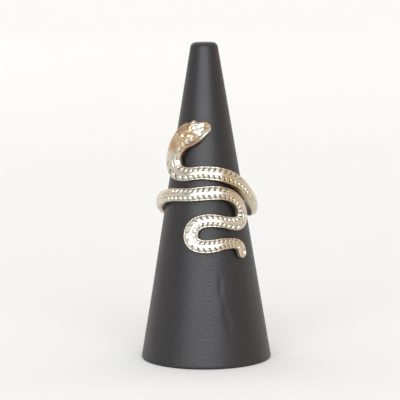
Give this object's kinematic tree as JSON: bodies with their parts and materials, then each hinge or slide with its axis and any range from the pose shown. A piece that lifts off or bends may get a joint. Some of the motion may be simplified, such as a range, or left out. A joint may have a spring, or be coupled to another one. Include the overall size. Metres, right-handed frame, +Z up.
{
  "type": "snake finger ring on a display cone",
  "caption": "Wrap ring cast as a slim ribbed snake that winds round the finger, standing on a plain tapered display cone.",
  "frame": {"origin": "middle of the cone's flat foot", "axes": "+Z up along the cone, -Y to the front, where the snake's head and tail are, +X to the right seen from the front"},
  "size_m": [0.026, 0.026, 0.0635],
  "materials": {
    "gold_alloy": "pale gold-tone plate over cast metal, polished on the crests and darker in the grooves",
    "black_leatherette": "matt black leatherette with a fine grain"
  },
  "bodies": {
    "root": {"snake_ring": "gold_alloy", "display_cone": "black_leatherette"}
  },
  "joints": []
}
